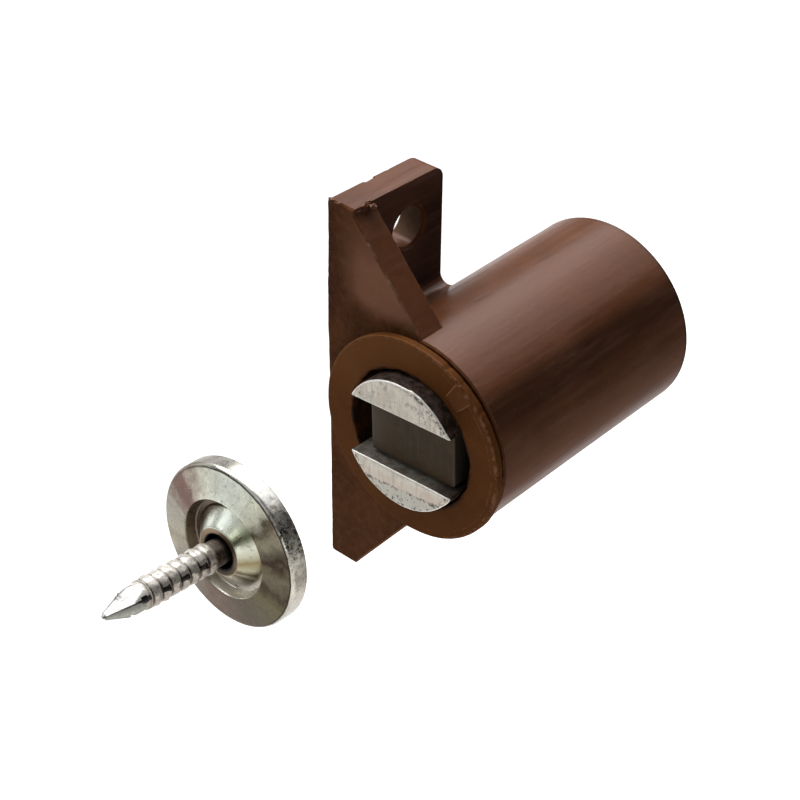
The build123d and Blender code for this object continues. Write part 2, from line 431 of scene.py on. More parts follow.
def housing_plastic(name):
    material, shader = new_material(name)
    shader.inputs["IOR"].default_value = 1.46
    x, y, z = split(coords())
    face_x, face_y, face_z = facing()
    colour, cloud, grain = brown_base([c * 1.2 for c in BROWN], [c * 0.8 for c in BROWN])

    radius, share, direction = polar(x, z, (BARREL_X, 0))
    # painted light and shade by angle round the barrel
    painted_barrel_light = round_ramp(share, BARREL_LIGHT_AND_SHADE)
    on_barrel = band(radius, 7.6, 8.1, 0.2) * rise(face_y, -0.5, -0.2)
    colour = mix(on_barrel, colour, mix(1.0, colour, painted_barrel_light, "MULTIPLY"))

    web = rise(face_y, -0.85, -0.95)
    drift = (noise_node(coords(), 0.5, 3) - 0.5) * 1.6
    near_rib = rise(x + drift, 0.9, 3.8)
    height = z + drift
    colour = mix(web, colour, mix(cloud, (0.066, 0.023, 0.0075), (0.132, 0.05, 0.0175)))
    # painted sheen: a lighter band down the web front beside the rib
    painted_sheen = web * near_rib * rise(height, 7.6, 9.4) * span(rise(height, 15.5, 11.5), 0.25, 1)
    colour = mix(painted_sheen * 0.95, colour, (0.28, 0.13, 0.075))
    # painted shade on the front face near the mounting side, above the barrel
    corner_shade = web * rise(x, 1.3, 0.2) * rise(z, 4, 9)
    colour = mix(corner_shade * 0.55, colour, (0.045, 0.013, 0.008))

    crown = rise(face_z, 0.8, 0.95) * rise(y, -1.0, -4.5) * rise(z, 15, 15.5)
    colour = mix(crown * 0.4, colour, (0.06, 0.018, 0.008))
    # painted shade: the ear's inner face darkened, darkest deep in it by the barrel
    ear_shade = rise(face_x, 0.85, 0.95) * rise(x, 3.2, 2.8)
    colour = mix(ear_shade * 0.75, colour, (0.035, 0.012, 0.007))
    deep_ear_shade = ear_shade * rise(y, -1.0, 2.5) * rise(z, 15.6, 13.0)
    colour = mix(deep_ear_shade * 0.85, colour, (0.01, 0.004, 0.0025))
    broken = rise(noise_node(coords(), 1.4, 4, 0.6), 0.45, 0.55)
    # tan line down the rib's front edge: scuffing with a painted edge highlight
    rib_edge_scuff_and_highlight = band(face_y, -0.9, -0.12, 0.05) * rise(x, 3.2, 3.6) * rise(z, 8.0, 8.6)
    colour = mix(rib_edge_scuff_and_highlight * span(broken, 0.35, 0.9), colour, (0.24, 0.13, 0.08))
    scratch = most(band(z, 13.75, 13.9, 0.1), band(z, 11.5, 11.6, 0.1))
    colour = mix(rib_edge_scuff_and_highlight * scratch * 0.6, colour, (0.36, 0.23, 0.16))
    back_edge = on_barrel * rise(y, housing_high.y - 0.45, housing_high.y - 0.2)
    colour = mix(back_edge * span(grain, 0.2, 0.8), colour, (0.03, 0.011, 0.007))
    worn = on_barrel * band(share, 0.815, 0.85, 0.01) * broken
    colour = mix(worn * 0.25, colour, (0.3, 0.14, 0.1))
    hole_height = calc("ABSOLUTE", z) - SCREW_Z
    out_of_hole = calc("SQRT", y * y + hole_height * hole_height)
    bore = rise(out_of_hole, SCREW_R + 0.03, SCREW_R - 0.03) * rise(z, SCREW_Z - 1.5, SCREW_Z - 1.3)
    colour = mix(bore * 0.9, colour, (0.11, 0.07, 0.044))

    # tan on outer edges: wear with a painted edge highlight
    edge_wear_and_highlight = edge_mask(0.12)
    patchy = rise(noise_node(coords(), 1.1, 4, 0.6), 0.42, 0.6)
    colour = mix(edge_wear_and_highlight * patchy * 0.75, colour, TAN)
    rub = rise(noise_node(coords((1.0, 0.1, 1.0)), 1.6, 5, 0.6), 0.4, 0.8)
    colour = mix(rub * 0.35, colour, (0.21, 0.1, 0.065))
    speck = rise(noise_node(coords(), 3.4, 3, 0.6), 0.7, 0.75)
    colour = mix(speck * 0.6, colour, (0.26, 0.15, 0.1))

    roughness = span(cloud, 0.27, 0.33) + web * 0.2
    gloss = most(rise(face_y, -0.15, -0.5), bore * 0.8, deep_ear_shade * 0.6)
    feed(shader.inputs["Specular IOR Level"], span(gloss, 0.5, 0.02))
    shader.inputs["Specular Tint"].default_value = (1.0, 0.8, 0.78, 1)
    roughness = roughness + rub * 0.12
    fine = noise_node(coords((1, 0.25, 1)), 2.2, 4, 0.55)
    drawn = noise_node(coords((1, 0.04, 1)), 0.8, 3, 0.5)
    normal = bump(drawn, 0.4, 0.12, bump(fine, 0.3, 0.05))
    link_surface(shader, colour, roughness, 0.0, normal)
    return material


def insert_plastic(name):
    """The flanged insert: the same brown with a duller, slightly yellower skin."""
    material, shader = new_material(name)
    shader.inputs["IOR"].default_value = 1.42
    vector = coords()
    x, y, z = split(vector)
    radius, share, direction = polar(x, z, (BARREL_X, 0))
    colour, cloud, grain = brown_base((0.135, 0.049, 0.0138), (0.088, 0.031, 0.0092))

    front = rise(y, FLANGE_FACE + 0.15, FLANGE_FACE + 0.05)
    right = round_ramp(share, [(-95, 0.0), (-60, 0.6), (-20, 1.0), (70, 1.0), (90, 0.35), (180, 0.25)])
    wander = (noise_node(vector, 0.6, 3) - 0.5) * 0.35
    path = radius + wander
    broken = rise(noise_node(vector, 2.2, 5, 0.7), 0.46, 0.56)
    # painted light on the upper left of the flange's front face
    high_left = round_ramp(
        share, [(-180, 0.1), (60, 0.0), (90, 0.9), (145, 0.9), (170, 0.15), (180, 0.1)]
    )
    colour = mix(front * high_left * 0.8, colour, (0.2, 0.078, 0.025))
    pad = band(share, 0.628, 0.662, 0.001) * band(radius, 6.35, 8.1, 0.05) * front
    colour = mix(pad * 0.35, colour, (0.19, 0.075, 0.035))
    # painted highlight along the pad's two sides
    sides = most(band(share, 0.6275, 0.6285, 0.001), band(share, 0.6615, 0.6625, 0.001))
    pad_side_highlight = sides * band(radius, 6.5, 8.0, 0.05) * front * span(grain, 0.2, 0.9)
    colour = mix(pad_side_highlight, colour, (0.3, 0.165, 0.095))
    outer = band(path, 8.04, 8.3, 0.05)
    inner = band(path, 7.66, 7.7, 0.04)
    scuff = front * right * broken * most(outer, inner * 0.6)
    colour = mix(scuff * 0.7, colour, (0.27, 0.135, 0.075))
    # tan scuffs on the flange's outer edge, with a painted edge highlight
    lip = edge_mask(0.1) * rise(radius, 7.9, 8.1) * span(broken, 0.35, 1)
    colour = mix(lip * 0.7, colour, (0.3, 0.165, 0.095))
    # painted highlight along the opening's edge
    opening = edge_mask(0.08) * rise(radius, 6.2, 6.0)
    colour = mix(opening * broken * 0.3, colour, TAN)
    # painted shade inside the opening, mottled
    inside = rise(radius, 5.9, 5.75)
    shade_mottle = rise(noise_node(vector, 1.0, 5, 0.7), 0.4, 0.6)
    colour = mix(inside * span(shade_mottle, 0.3, 0.85), colour, (0.02, 0.011, 0.008))

    roughness = span(cloud, 0.5, 0.6)
    shader.inputs["Specular IOR Level"].default_value = 0.03
    normal = bump(noise_node(vector, 2.0, 5, 0.6), 0.3, 0.04)
    link_surface(shader, colour, roughness, 0.0, normal)
    return material


def pole_steel(name, lower):
    """Sheared strip: pale faces with streaks and nicks, curved sides painted dark for the shade on
    them.
    """
    material, shader = new_material(name)
    vector = coords()
    x, y, z = split(vector)
    face_x, face_y, face_z = facing()
    streak = noise_node(coords((2.6, 1, 0.35)), 1.4, 5, 0.65)
    cloud = rise(noise_node(vector, 0.9, 4, 0.6), 0.35, 0.65)
    pale = mix(cloud, (0.66, 0.59, 0.49), (0.8, 0.75, 0.65))
    pale = mix(rise(streak, 0.5, 0.68), pale, (0.55, 0.5, 0.42))
    nick = rise(noise_node(coords((2.2, 1, 0.9), rotation=(0, 0.5, 0)), 2.2, 5, 0.8), 0.57, 0.62)
    if lower:
        jag = (noise_node(vector, 1.6, 4, 0.7) - 0.5) * 0.9
        slope = z - (x - 8.0) * 0.1
        height = slope + jag
        below = rise(height, -3.95, -4.1)
        pale = mix(below * 0.75, pale, (0.56, 0.55, 0.48))
        pink = band(height, -3.9, -3.4, 0.5)
        pale = mix(pink * 0.45, pale, (0.66, 0.52, 0.43))
        pits = noise_node(vector, 3.2, 4, 0.75)
        tear = band(height, -4.1, -3.95, 0.1) * rise(pits, 0.47, 0.52)
        speck = rise(pits, 0.585, 0.62) * below
        from_axis = polar(x, z, (BARREL_X, PACK_LIFT))[0]
        border = rise(from_axis, 4.9, 5.25) * rise(pits, 0.53, 0.57)
        mark = most(tear, speck, border)
    else:
        ends = most(band(x, 11.2, 13.2, 0.8), band(x, 4.6, 5.8, 0.6))
        from_axis = polar(x, z, (BARREL_X, PACK_LIFT))[0]
        pits = noise_node(vector, 3.2, 4, 0.75)
        border = rise(from_axis, 4.7, 5.2) * rise(pits, 0.52, 0.56) * rise(x, 8.5, 10.5)
        smudge = rise(noise_node(vector, 1.1, 5, 0.75), 0.56, 0.64) * 0.45
        mark = most(nick * span(ends, 0.35, 1.0), border)
        mark = most(mark, smudge)
    pale = mix(mark * 0.9, pale, (0.07, 0.055, 0.045))

    side_noise = rise(noise_node(vector, 1.5, 5, 0.7), 0.38, 0.62)
    # painted shade: the curved sides darkened
    skin = mix(side_noise, (0.018, 0.011, 0.008), (0.075, 0.05, 0.04))
    flat = mix(side_noise, (0.11, 0.098, 0.08), (0.19, 0.175, 0.15))
    flat = mix(rise(x, 11.5, 13.2) * 0.7, flat, (0.045, 0.032, 0.025))
    chord = rise(face_z * (1.0 if lower else -1.0), 0.97, 0.995)
    skin = mix(chord, skin, flat)
    front = rise(face_y, -0.2, -0.4)
    colour = mix(front, skin, pale)
    # painted highlight on the rounded front edge
    edge_highlight = band(face_y, -0.94, -0.4, 0.04)
    colour = mix(edge_highlight * span(cloud, 0.6, 1.0), colour, (0.97, 0.95, 0.9))
    feed(shader.inputs["Specular IOR Level"], span(front, 0.12, 0.5))

    metallic = span(front, 0.0, 0.35)
    roughness = span(front, 0.5, 0.42)
    relief = mix(0.5, streak, noise_node(vector, 3.0, 4, 0.7))
    normal = bump(relief, 0.4, 0.05)
    link_surface(shader, colour, roughness, metallic, normal)
    return material


def ferrite(name):
    material, shader = new_material(name)
    vector = coords()
    x, y, z = split(vector)
    grain = noise_node(coords((2.4, 1, 0.22)), 1.6, 5, 0.65)
    cloud = rise(noise_node(coords((0.6, 1, 1)), 0.55, 4, 0.6), 0.35, 0.65)
    shader.inputs["Specular IOR Level"].default_value = 0.1
    shader.inputs["Specular Tint"].default_value = (1.0, 0.86, 0.7, 1)
    colour = mix(cloud, (0.052, 0.033, 0.016), (0.076, 0.051, 0.029))
    colour = mix(rise(grain, 0.45, 0.75) * 0.7, colour, (0.08, 0.062, 0.043))
    colour = mix(rise(x, 8.0, 5.6) * 0.8, colour, (0.105, 0.083, 0.062))
    strip = rise(x, 13.45, 13.7) * 0.7
    colour = mix(strip, colour, (0.125, 0.095, 0.068))
    # painted highlight along the edges
    colour = mix(edge_mask(0.12) * 0.5, colour, (0.3, 0.27, 0.22))
    # painted shade on the side faces that face +x
    side = rise(facing()[0], 0.6, 0.9)
    colour = mix(side * 0.8, colour, (0.012, 0.009, 0.008))
    roughness = span(cloud, 0.42, 0.55)
    link_surface(shader, colour, roughness, 0.0, bump(grain, 0.2, 0.05))
    return material


# painted reflections of the plated strike, by degrees round it from +x
ANNULUS_REFLECTIONS = (
    (-180, (0.36, 0.335, 0.275)), (-165, (0.39, 0.35, 0.255)), (-150, (0.29, 0.255, 0.20)),
    (-120, (0.125, 0.082, 0.05)), (-95, (0.125, 0.070, 0.042)), (-75, (0.098, 0.070, 0.046)),
    (-60, (0.102, 0.080, 0.054)), (-42, (0.128, 0.110, 0.064)), (-27, (0.140, 0.120, 0.064)),
    (-15, (0.055, 0.038, 0.020)), (-2, (0.165, 0.14, 0.095)), (7, (0.12, 0.095, 0.06)),
    (15, (0.045, 0.026, 0.015)), (24, (0.12, 0.10, 0.07)), (33, (0.30, 0.27, 0.19)),
    (43, (0.18, 0.155, 0.105)), (56, (0.80, 0.80, 0.66)), (75, (0.76, 0.80, 0.69)),
    (90, (0.78, 0.82, 0.73)), (118, (0.67, 0.65, 0.54)), (135, (0.22, 0.135, 0.115)),
    (152, (0.19, 0.110, 0.086)), (166, (0.35, 0.315, 0.265)), (180, (0.36, 0.335, 0.275)),
)
RIM_REFLECTIONS = (
    (-180, (0.50, 0.46, 0.40)), (-40, (0.58, 0.55, 0.50)), (-20, (0.60, 0.55, 0.48)),
    (-5, (0.90, 0.83, 0.70)), (28, (0.72, 0.67, 0.52)), (45, (0.95, 0.90, 0.78)),
    (60, (0.85, 0.84, 0.79)), (104, (0.78, 0.75, 0.67)), (120, (0.52, 0.48, 0.41)),
    (140, (0.22, 0.17, 0.13)), (180, (0.50, 0.46, 0.40)),
)
# strength of the painted dark shade line inside the rim, and of the pits on the rim
EDGE_SHADE = ((-180, 0.2), (-60, 0.5), (-20, 0.95), (100, 0.95), (130, 0.5), (180, 0.2))
RIM_PITS = (
    (-180, 0.1), (-10, 0.1), (8, 0.2), (24, 0.95), (47, 0.9), (56, 0.15), (80, 0.08), (180, 0.1),
)
CONE_REFLECTIONS = (
    (-180, (0.30, 0.24, 0.17)), (-60, (0.45, 0.42, 0.33)), (-38, (0.10, 0.07, 0.035)),
    (-31, (0.34, 0.32, 0.22)), (-24, (0.11, 0.075, 0.035)), (-14, (0.50, 0.47, 0.33)),
    (2, (0.34, 0.27, 0.13)), (16, (0.80, 0.80, 0.62)), (28, (0.95, 0.97, 0.80)),
    (46, (0.34, 0.37, 0.21)), (60, (0.62, 0.66, 0.50)), (75, (0.90, 0.94, 0.82)),
    (90, (0.82, 0.88, 0.79)), (125, (0.74, 0.76, 0.66)), (150, (0.12, 0.10, 0.07)),
    (180, (0.30, 0.24, 0.17)),
)


def zinc_plating(name):
    """Turned and plated face: radial streaks, with reflections painted round the turn and painted
    reflection and shade in the groove.
    """
    material, shader = new_material(name)
    vector = coords()
    x, y, z = split(vector)
    face_x, face_y, face_z = facing()
    radius, share, direction = polar(x, z, (strike_centre[0], strike_centre[2] + 0.05))
    rays = noise_node(direction, 5.0, 5, 0.6)
    cloud = noise_node(vector, 0.8, 4, 0.6)
    shift = (cloud - 0.5) * 0.1
    turned_share = share + shift
    annulus = round_ramp(turned_share, ANNULUS_REFLECTIONS)
    annulus = mix(rise(rays, 0.5, 0.7) * 0.45, annulus, (0.11, 0.085, 0.058))
    grains = rise(noise_node(vector, 5.0, 4, 0.75), 0.42, 0.62)
    dull = mix(1.0, annulus, (0.45, 0.42, 0.38), "MULTIPLY")
    annulus = mix(grains * 0.3, annulus, dull)
    cone = round_ramp(share + shift * 0.4, CONE_REFLECTIONS)
    # painted reflection and shade round the groove
    groove = round_ramp(
        turned_share,
        [
            (-180, (0.16, 0.12, 0.09)), (-120, (0.5, 0.45, 0.36)), (-75, (0.9, 0.87, 0.78)),
            (-20, (0.3, 0.25, 0.18)), (60, (0.25, 0.2, 0.14)), (120, (0.12, 0.09, 0.065)),
            (180, (0.16, 0.12, 0.09)),
        ],
    )
    rim = round_ramp(turned_share, RIM_REFLECTIONS)
    pitted = rise(noise_node(vector, 2.2, 5, 0.8), 0.47, 0.52) * 0.95
    rim_pits = round_ramp(share, RIM_PITS)
    rim = mix(pitted * rim_pits, rim, (0.05, 0.04, 0.03))
    nicks = rise(noise_node(coords(rotation=(0.4, 0.9, 0.2)), 3.0, 5, 0.8), 0.5, 0.53)
    rim = mix(nicks * rim_pits, rim, (0.97, 0.95, 0.86))
    colour = mix(rise(radius, 3.62, 3.72), groove, annulus)
    colour = mix(rise(radius, 2.98, 2.9), colour, cone)
    lip = (0.33, 0.24, 0.15)
    colour = mix(rise(radius, 1.86, 1.78), colour, lip)
    # painted shade on the hole's inward-facing wall
    turned_in = face_x * split(direction)[0] + face_z * split(direction)[1]
    inside = rise(turned_in, 0.1, -0.1) * rise(radius, 3.2, 3.1)
    colour = mix(rise(radius, 5.95, 6.05), colour, rim)
    spots = rise(noise_node(vector, 2.4, 5, 0.75), 0.58, 0.66)
    colour = mix(spots * 0.5, colour, (0.12, 0.09, 0.06))
    # painted highlight along the edges
    edge = edge_mask(0.12)
    colour = mix(edge * rise(cloud, 0.42, 0.6) * 0.8, colour, (0.9, 0.87, 0.8))
    # painted shade: a dark line along the rim's inner edge
    waver = (noise_node(vector, 2.0, 3) - 0.5) * 0.12
    line = band(radius + waver, 5.9, 5.98, 0.03)
    line = line * rise(face_y, -0.6, -0.8) * round_ramp(share, EDGE_SHADE)
    colour = mix(line, colour, (0.035, 0.028, 0.02))
    colour = mix(inside, colour, (0.012, 0.009, 0.006))
    roughness = span(rise(cloud, 0.35, 0.65), 0.24, 0.38)
    relief = mix(0.5, rays, noise_node(vector, 2.4, 4, 0.65))
    roughness = roughness + inside * 0.3
    link_surface(shader, colour, roughness, 0.9, bump(relief, 0.45, 0.05))
    return material


def nail_steel(name):
    """Bright wire with painted shade in the grooves between the rings."""
    material, shader = new_material(name)
    vector = coords()
    x, y, z = split(vector)
    sink = (nail_centre[1] - y) * math.tan(NAIL_LEAN)
    radius, share, direction = polar(x, z - sink, (nail_centre[0], nail_centre[2]))
    cloud = noise_node(vector, 1.3, 4, 0.65)
    # painted light and shade round the nail: lighter on top, darker below
    below = round_ramp(
        share, [(-180, 0.6), (-60, 1.0), (0, 0.8), (40, 0.2), (60, 0.0), (130, 0.0), (180, 0.6)]
    )
    colour = mix(below, (0.94, 0.9, 0.82), (0.68, 0.57, 0.47))
    colour = mix(rise(cloud, 0.62, 0.4) * 0.5, colour, (0.5, 0.44, 0.38))
    ringed = rise(y, POINT_Y - 0.4, POINT_Y)
    colour = mix(ringed, (0.8, 0.79, 0.76), colour)
    # painted shade in the grooves, strongest on one side
    groove_shade_strength = round_ramp(
        share,
        [(-180, 0.7), (-50, 0.8), (-12, 0.85), (6, 1.0), (44, 1.0), (60, 0.5), (120, 0.6), (180, 0.7)],
    )
    groove_shade = rise(radius, 1.035, 0.99) * rise(y, POINT_Y + 0.3, POINT_Y + 0.6) * groove_shade_strength
    colour = mix(groove_shade * 0.95, colour, (0.03, 0.022, 0.016))
    spots = rise(noise_node(vector, 2.6, 5, 0.7), 0.58, 0.62)
    colour = mix(spots * ringed * 0.7, colour, (0.07, 0.05, 0.038))
    ragged = (noise_node(vector, 1.8, 3) - 0.5) * 0.05
    along = (y - RING_Y) * (math.pi / RING_PITCH)
    every_other = rise(calc("COSINE", along) + ragged * 12, 0.2, 0.3)
    # painted shade patches between every other ring on one side
    shade_patch = band(share + ragged, 0.53, 0.585, 0.004) * every_other * ringed
    colour = mix(shade_patch * 0.95, colour, (0.016, 0.012, 0.01))
    # painted highlight on a band where the shank meets the point
    collar_highlight = band(y, POINT_Y - 0.3, POINT_Y + 0.25, 0.06) * band(share, 0.6, 0.8, 0.02)
    colour = mix(collar_highlight * 0.8, colour, (0.93, 0.91, 0.86))
    shade = rise(y, NECK_Y - 1.6, NECK_Y - 0.2)
    colour = mix(shade * 0.9, colour, (0.11, 0.075, 0.055))
    # painted shade where the shank sits in the plate's hole
    colour = mix(rise(y, NECK_Y - 0.1, NECK_Y + 0.3), colour, (0.012, 0.009, 0.007))
    point = rise(y, POINT_Y + 0.05, POINT_Y - 0.05)
    # painted shade on the point's lower face
    shaded_lower_face = point * band(share, 0.34, 0.575, 0.004)
    lower_face_shade = mix(rise(share, 0.36, 0.54), (0.62, 0.61, 0.54), (0.29, 0.295, 0.235))
    colour = mix(shaded_lower_face, colour, lower_face_shade)
    # painted dark reflections along the point's ridge and in a bar where it meets the rings
    ridge_reflection = band(share, 0.552, 0.581, 0.003) * rise(y, POINT_Y - 0.25, POINT_Y - 0.35)
    bar_reflection = band(share, 0.53, 0.605, 0.008) * band(y, POINT_Y - 0.3, POINT_Y + 0.16, 0.03)
    # painted shade along the point's outline
    outline = point * most(band(share, 0.82, 0.85, 0.01), band(share, 0.32, 0.345, 0.01))
    colour = mix(outline * 0.85, colour, (0.16, 0.155, 0.14))
    colour = mix(most(ridge_reflection, bar_reflection), colour, (0.012, 0.01, 0.008))
    roughness = span(rise(cloud, 0.35, 0.65), 0.2, 0.34)
    roughness = roughness + shade * 0.3
    middle = round_ramp(share, [(-180, 0.0), (-12, 0.0), (4, 0.6), (44, 0.6), (58, 0.0), (180, 0.0)])
    metallic = span(middle * rise(y, POINT_Y + 0.3, POINT_Y + 0.6), 0.2, 0.9)
    flecks = rise(noise_node(vector, 3.0, 4, 0.7), 0.52, 0.6)
    colour = mix(flecks * band(y, NECK_Y - 1.6, NECK_Y - 0.2, 0.3) * 0.5, colour, (0.36, 0.28, 0.2))
    relief = noise_node(vector, 2.0, 4, 0.65)
    link_surface(shader, colour, roughness, metallic, bump(relief, 0.5, 0.06))
    return material


# ---- housing


def lump(centre, radii, seed, rough=0.35):
    """Irregular rounded solid, for chips and crumpled flash."""
    work = bmesh.new()
    bmesh.ops.create_icosphere(work, subdivisions=3, radius=1)
    for vert in work.verts:
        vert.co *= 1 + rough * wobble(vert.co, 1.6, seed)
        vert.co = (vert.co * Vector(radii) + Vector(centre)) * MM
    mesh = bpy.data.meshes.new("lump")
    work.to_mesh(mesh)
    work.free()
    return bpy.data.objects.new("lump", mesh)


def carve(target, cutters, operation):
    """Applies a boolean of each cutter to the target and deletes the cutters."""
    for cutter in cutters:
        bpy.context.scene.collection.objects.link(cutter)
        modifier = target.modifiers.new("carve", "BOOLEAN")
        modifier.object = cutter
        modifier.operation = operation
        modifier.solver = "EXACT"
    graph = bpy.context.evaluated_depsgraph_get()
    target.data = bpy.data.meshes.new_from_object(target.evaluated_get(graph))
    target.modifiers.clear()
    for cutter in cutters:
        bpy.data.objects.remove(cutter)


def slice_plate(mesh):
    """Cuts the plate and its web across, so that their long edges can waver."""
    work = bmesh.new()
    work.from_mesh(mesh)
    bmesh.ops.remove_doubles(work, verts=work.verts, dist=1e-4 * MM)
    for step in range(-40, 41):
        z = step * 0.4 + 0.013
        flat = [
            face
            for face in work.faces
            if all(v.co.x < 2.75 * MM or abs(v.co.z) > (BARREL_R + 0.2) * MM for v in face.verts)
        ]
        edges = {edge for face in flat for edge in face.edges}
        verts = {vert for face in flat for vert in face.verts}
        bmesh.ops.bisect_plane(
            work, geom=flat + list(edges) + list(verts), plane_co=(0, 0, z * MM), plane_no=(0, 0, 1)
        )
    work.to_mesh(mesh)
    work.free()


PLATE_DEPTH = 9.65
PLATE_BOW = 0.16           # the mounting face bows outwards above the barrel
END_DRAFT = 0.26           # fall of the plate's ends towards the rear


def warp_housing(mesh):
    for vert in mesh.vertices:
        x, y, z = vert.co / MM
        near_end = min(1, max(0, (abs(z) - 14.2) / 1.2))
        vert.co.z -= math.copysign(END_DRAFT * near_end * (y - FRONT) / PLATE_DEPTH, z) * MM
        if x < 0.7:
            bow = PLATE_BOW * bell(z, 6.5, 5.5) + 0.03 * wobble((0, y * 0.3, z), 0.9, 3)
            vert.co.x -= bow * (1 - x / 0.7) * MM
        if y < FRONT + 0.2 and x < 9 and abs(z) > 8.1:
            vert.co.x += 0.035 * wobble((x, y, z), 1.7, 5) * MM
            vert.co.z += 0.035 * wobble((x, y, z), 1.7, 8) * MM


def build_housing(material):
    housing = bpy.data.objects.new("housing_moulding", nodes["housing"].data.copy())
    bpy.context.scene.collection.objects.link(housing)
    join_verts(housing.data)
    top = PLATE_TOP
    carve(
        housing,
        [   # chips along the mounting edge and beside the web's corner
            lump((-0.22, -2.0, top + 0.16), (0.72, 0.6, 0.58), 1, 0.25),
            lump((-0.20, -1.4, top + 0.12), (0.62, 0.45, 0.56), 2, 0.25),
            lump((-0.22, 0.3, top + 0.1), (0.52, 0.34, 0.42), 3, 0.25),
            lump((2.75, -4.45, top + 0.02), (0.35, 0.45, 0.25), 4, 0.5),
            lump((-0.2, -5.8, top + 0.1), (0.3, 0.25, 0.3), 5),
        ],
        "DIFFERENCE",
    )
    carve(
        housing,
        [   # crumpled flash at the web's corner and along the front edge
            lump((2.55, -4.75, top - 0.2), (0.26, 0.42, 0.24), 11, 0.8),
            lump((2.85, -4.25, top - 0.32), (0.24, 0.34, 0.2), 12, 0.8),
            lump((2.5, -5.4, top - 0.3), (0.2, 0.5, 0.09), 13, 0.4),
            lump((1.2, -5.9, top - 0.02), (0.25, 0.12, 0.08), 14, 0.5),
            lump((0.35, -5.85, top - 0.03), (0.3, 0.14, 0.08), 15, 0.5),
        ],
        "UNION",
    )
    slice_plate(housing.data)
    warp_housing(housing.data)
    bpy.context.scene.collection.objects.unlink(housing)
    finish_piece(housing, material, "catch", ["housing"], 32)
    level_normals(housing)


def level_normals(piece):
    """Lets large flat faces set the normals at their borders, so that they shade evenly."""
    modifier = piece.modifiers.new("level", "WEIGHTED_NORMAL")
    modifier.keep_sharp = True
    modifier.weight = 80
    graph = bpy.context.evaluated_depsgraph_get()
    mesh = bpy.data.meshes.new_from_object(piece.evaluated_get(graph))
    piece.modifiers.clear()
    piece.data = mesh


# ---- carrier
OPENING_R = 5.65
SLEEVE_R = 6.5
SHOULDER_R = 7.2


def carrier_shape(radius, height, angle):
    """The opening is a little out of round and the flange's rim is scuffed and dented."""
    degrees = math.degrees(angle)
    ring = (math.cos(angle) * 8, math.sin(angle) * 8, height)
    if radius < OPENING_R + 0.12 and height > FLANGE_FRONT - 1.5:
        kinks = (131, 101, 63, 44, 6, -17, -62, -120, -149, 174)
        nearest = min(abs(turn_gap(angle, kink)) for kink in kinks)
        radius += 0.10 * max(0, 1 - nearest / 9) - 0.03
        radius += 0.03 * wobble(ring, 0.8, 2)
    if radius > FLANGE_R - 0.3:
        radius += 0.09 * math.cos(angle - math.radians(48)) + 0.025 * wobble(ring, 0.5, 4)
        worn = max(0, math.cos(math.radians(turn_gap(angle, 25))))
        radius -= 0.05 * worn * max(0, wobble(ring, 2.4, 6))
        radius -= 0.10 * bell(turn_gap(angle, 67), 0, 1.6) + 0.07 * bell(turn_gap(angle, 40), 0, 1.2)
        radius -= 0.05 * bell(turn_gap(angle, 56), 0, 2.0) + 0.05 * bell(turn_gap(angle, 5), 0, 1.5)
        if height > FLANGE_FRONT - 0.2:
            radius -= 0.03 * worn * (1 + wobble(ring, 3.1, 9))
    if height > FLANGE_FRONT - 0.02 and radius > OPENING_R + 0.15:
        height += 0.012 * wobble(ring, 0.7, 7)
        inside = 6.3 < radius < FLANGE_R - 0.05
        if inside and abs(turn_gap(angle, 52)) < 6.2:
            height += 0.07
    return radius, height


def build_carrier(material):
    flange_back = FLANGE_FRONT - 0.55
    outline = rounded([
        (OPENING_R, FLANGE_FRONT, 0.07),
        (FLANGE_R, FLANGE_FRONT, 0.07),
        (FLANGE_R, flange_back, 0.05),
        (SHOULDER_R, flange_back, 0.1),
        (SHOULDER_R, 0, 0),
        (SLEEVE_R, 0, 0),
        (SLEEVE_R, CARRIER_BACK, 0),
        (OPENING_R, CARRIER_BACK, 0),
    ])
    verts, faces = lathe(divided(outline, 0.22), 540, carrier_shape)
    add_piece(
        "carrier_insert", verts, faces, material, "catch", ["carrier"], 40, catch_frame
    )


# ---- magnet pack
PACK_ROLL = math.radians(2.0)
CHORD = 5.03 / 2           # of the poles' inner faces from the middle of the pack
POLE_R = 5.45
pack_roll = Matrix.Translation((0, PACK_LIFT, 0)) @ Matrix.Rotation(PACK_ROLL, 4, "Z")
pack_frame = catch_frame @ pack_roll


def pole_outline(side, arc_radius):
    """D outline in the front plane; side is 1 for the upper pole plate and -1 for the lower."""
    half = math.acos(CHORD / POLE_R)
    points = []
    steps = 150
    for step in range(steps + 1):
        spread = -half + 2 * half * step / steps
        angle = math.pi / 2 + spread
        radius = arc_radius(math.degrees(angle))
        points.append(Vector((radius * math.cos(angle), side * radius * math.sin(angle))))
    first, last = points[0], points[-1]
    chord = []
    for step in range(1, 90):
        t = step / 90
        chord.append(last.lerp(first, t) + Vector((0, side * 0.012 * wobble((t * 9, 0, side), 1.5))))
    points.extend(chord)
    return relaxed(points, 3)


def relaxed(points, rounds):
    """Evens out a closed outline, which rounds its corners."""
    for _ in range(rounds):
        points = [
            (points[index - 1] + point * 2 + points[(index + 1) % len(points)]) / 4
            for index, point in enumerate(points)
        ]
    return points


def upper_arc(degrees):
    """Worn along its left half, with two flats to the right of the crown."""
    radius = 5.24 + 0.2 / (1 + math.exp((degrees - 78) / 2.5))
    radius += 0.05 * bell(degrees, 76, 2) + 0.05 * bell(degrees, 66, 2)
    return radius + 0.14 * bell(degrees, 28, 6)


def lower_arc(degrees):
    return 5.46 + 0.03 * wobble((degrees * 0.1, 0, 0), 1.0, 3) + 0.08 * bell(degrees, 30, 8)


